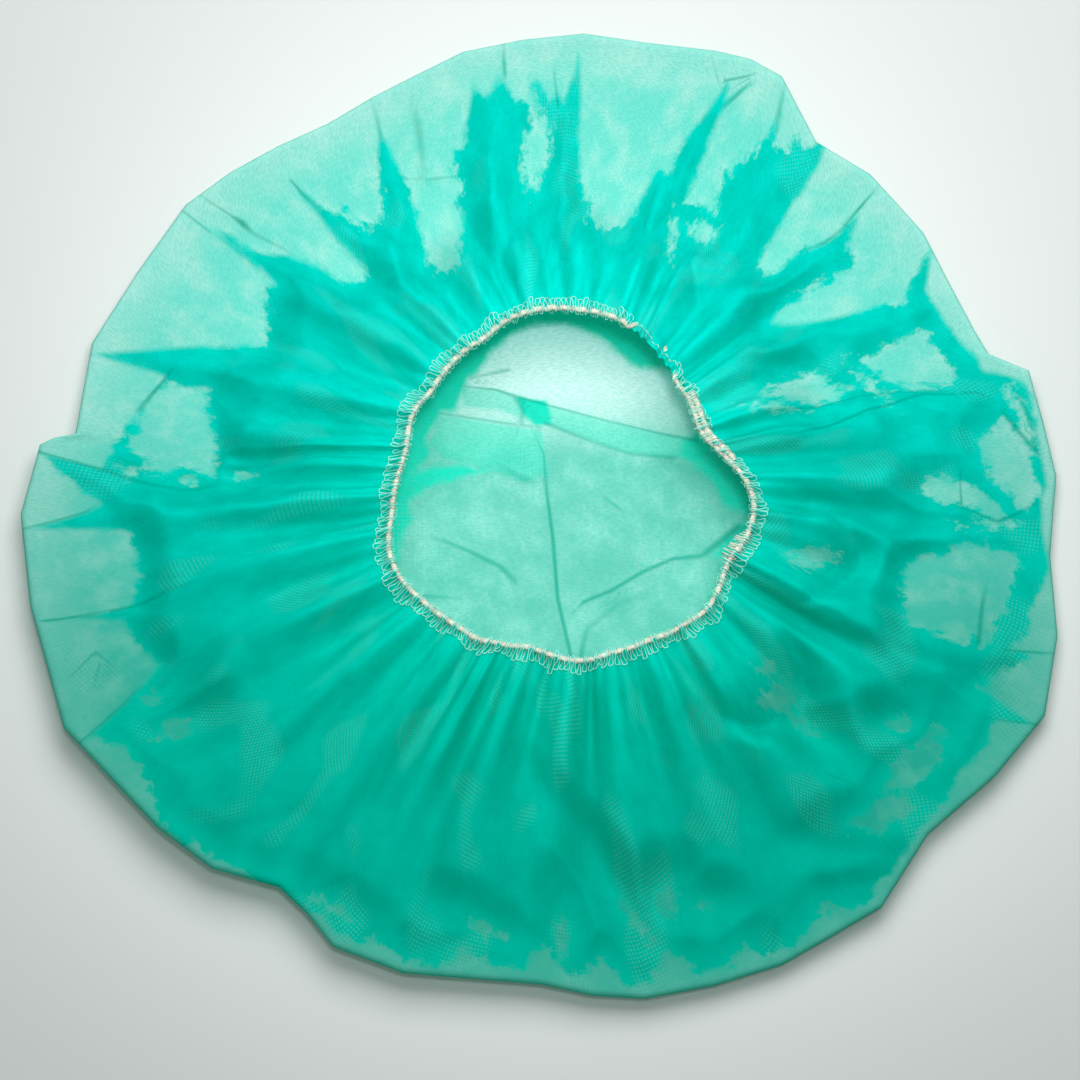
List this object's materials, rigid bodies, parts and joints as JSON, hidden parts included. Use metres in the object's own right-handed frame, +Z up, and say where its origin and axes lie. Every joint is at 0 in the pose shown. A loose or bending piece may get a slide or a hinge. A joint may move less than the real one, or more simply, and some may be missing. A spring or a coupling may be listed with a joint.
{
  "type": "disposable hair cover cap",
  "caption": "Round disposable hair cover cap of teal nonwoven cloth, laid flat on its crown, with its gathered mouth up and a stitched elastic edging.",
  "frame": {"origin": "middle of the laid cap's box in plan, on the surface that the crown lies on", "axes": "+Z up out of the mouth, +X along the laid width, +Y away from the viewer"},
  "size_m": [0.3202, 0.307, 0.0345],
  "materials": {
    "nonwoven": "matte spunbond nonwoven",
    "elastic": "matte covered elastic"
  },
  "bodies": {
    "root": {"crown": "nonwoven", "elastic_edging": "elastic", "elastic_overlap": "elastic"}
  },
  "joints": []
}
